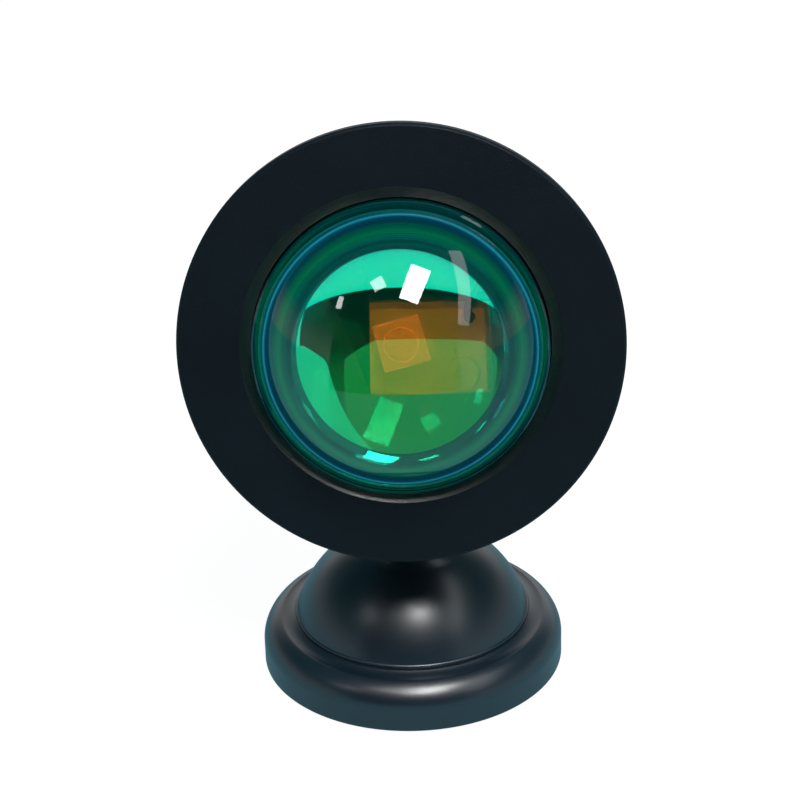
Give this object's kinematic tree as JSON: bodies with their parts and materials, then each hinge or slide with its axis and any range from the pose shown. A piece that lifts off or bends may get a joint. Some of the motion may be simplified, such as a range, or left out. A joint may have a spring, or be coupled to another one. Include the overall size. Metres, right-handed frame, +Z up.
{
  "type": "sunset projection lamp",
  "caption": "Small projection lamp: round disc head with a domed glass lens and colour-filter coating, tilting on a fork over a swivelling, weighted domed foot.",
  "frame": {"origin": "centre of the round foot's underside, on the surface it stands on, on the swivel axis", "axes": "+Z up along the swivel axis, -Y the way the lens faces, +X to the right seen from the front"},
  "size_m": [0.0686, 0.0704, 0.0989],
  "materials": {
    "bezel": "fine blasted black anodised",
    "housing": "satin black anodised",
    "lens": "polished clear glass",
    "filter": "glass with a colour-splitting coating: green to blue in reflection, orange in transmission",
    "seal": "matte black silicone",
    "black_plastic": "matte moulded",
    "bare_aluminium": "machined",
    "board_white": "white solder mask",
    "board_green": "green solder mask",
    "thermal": "grey gap pad",
    "emitter_body": "white ceramic",
    "phosphor": "yellow phosphor under clear resin",
    "lead_red": "red insulation",
    "lead_black": "black insulation",
    "steel": "zinc-plated",
    "dark_steel": "black oxide",
    "brass": "plain",
    "ferrite": "sintered",
    "can": "drawn can",
    "chip": "moulded epoxy",
    "washer_plastic": "natural nylon",
    "neck": "satin black paint",
    "foot_paint": "satin blue-black paint",
    "iron": "as cast",
    "pad": "fine-textured rubber"
  },
  "bodies": {
    "base": {"base_dome": "foot_paint", "base_ring": "foot_paint", "base_weight": "iron", "base_plate": "steel", "foot_pad": "pad", "base_screws": "steel", "weight_screw": "steel"},
    "neck": {"neck_fork": "neck", "tilt_screw": "dark_steel", "tilt_nut": "dark_steel", "friction_washers": "washer_plastic", "thrust_washer": "washer_plastic", "spring_washer": "steel", "swivel_nut": "steel"},
    "head": {"front_bezel": "bezel", "lens_seal": "seal", "projection_lens": "lens", "filter_disc": "filter", "light_baffle": "black_plastic", "head_housing": "housing", "bezel_set_screws": "dark_steel", "heat_sink": "bare_aluminium", "heat_sink_screws": "steel", "thermal_pad": "thermal", "led_board": "board_white", "led_board_screw": "steel", "led_package": "emitter_body", "led_phosphor": "phosphor", "led_lead_red": "lead_red", "led_lead_black": "lead_black", "driver_board": "board_green", "board_spacers": "brass", "driver_screws": "steel", "inductor": "ferrite", "capacitor": "can", "controller_chip": "chip", "power_socket": "steel", "socket_tongue": "black_plastic", "switch_body": "black_plastic", "rear_cap": "black_plastic", "rear_cap_screws": "dark_steel"},
    "button": {"power_button": "black_plastic", "switch_plunger": "black_plastic"}
  },
  "joints": [
    {"name": "neck_swivel", "type": "hinge", "parent": "base", "child": "neck", "pos_m": [0, 0, 0.0225], "axis": [0, 0, 1], "continuous": true},
    {"name": "head_tilt", "type": "hinge", "parent": "neck", "child": "head", "pos_m": [0, 0, 0.031], "axis": [-1, 0, 0], "range_deg": [-37, 42]},
    {"name": "button_press", "type": "slide", "parent": "head", "child": "button", "axis": [0, -0.9763, 0.2164], "range_m": [0, 0.0008], "stiffness_N_per_m": 1500}
  ]
}
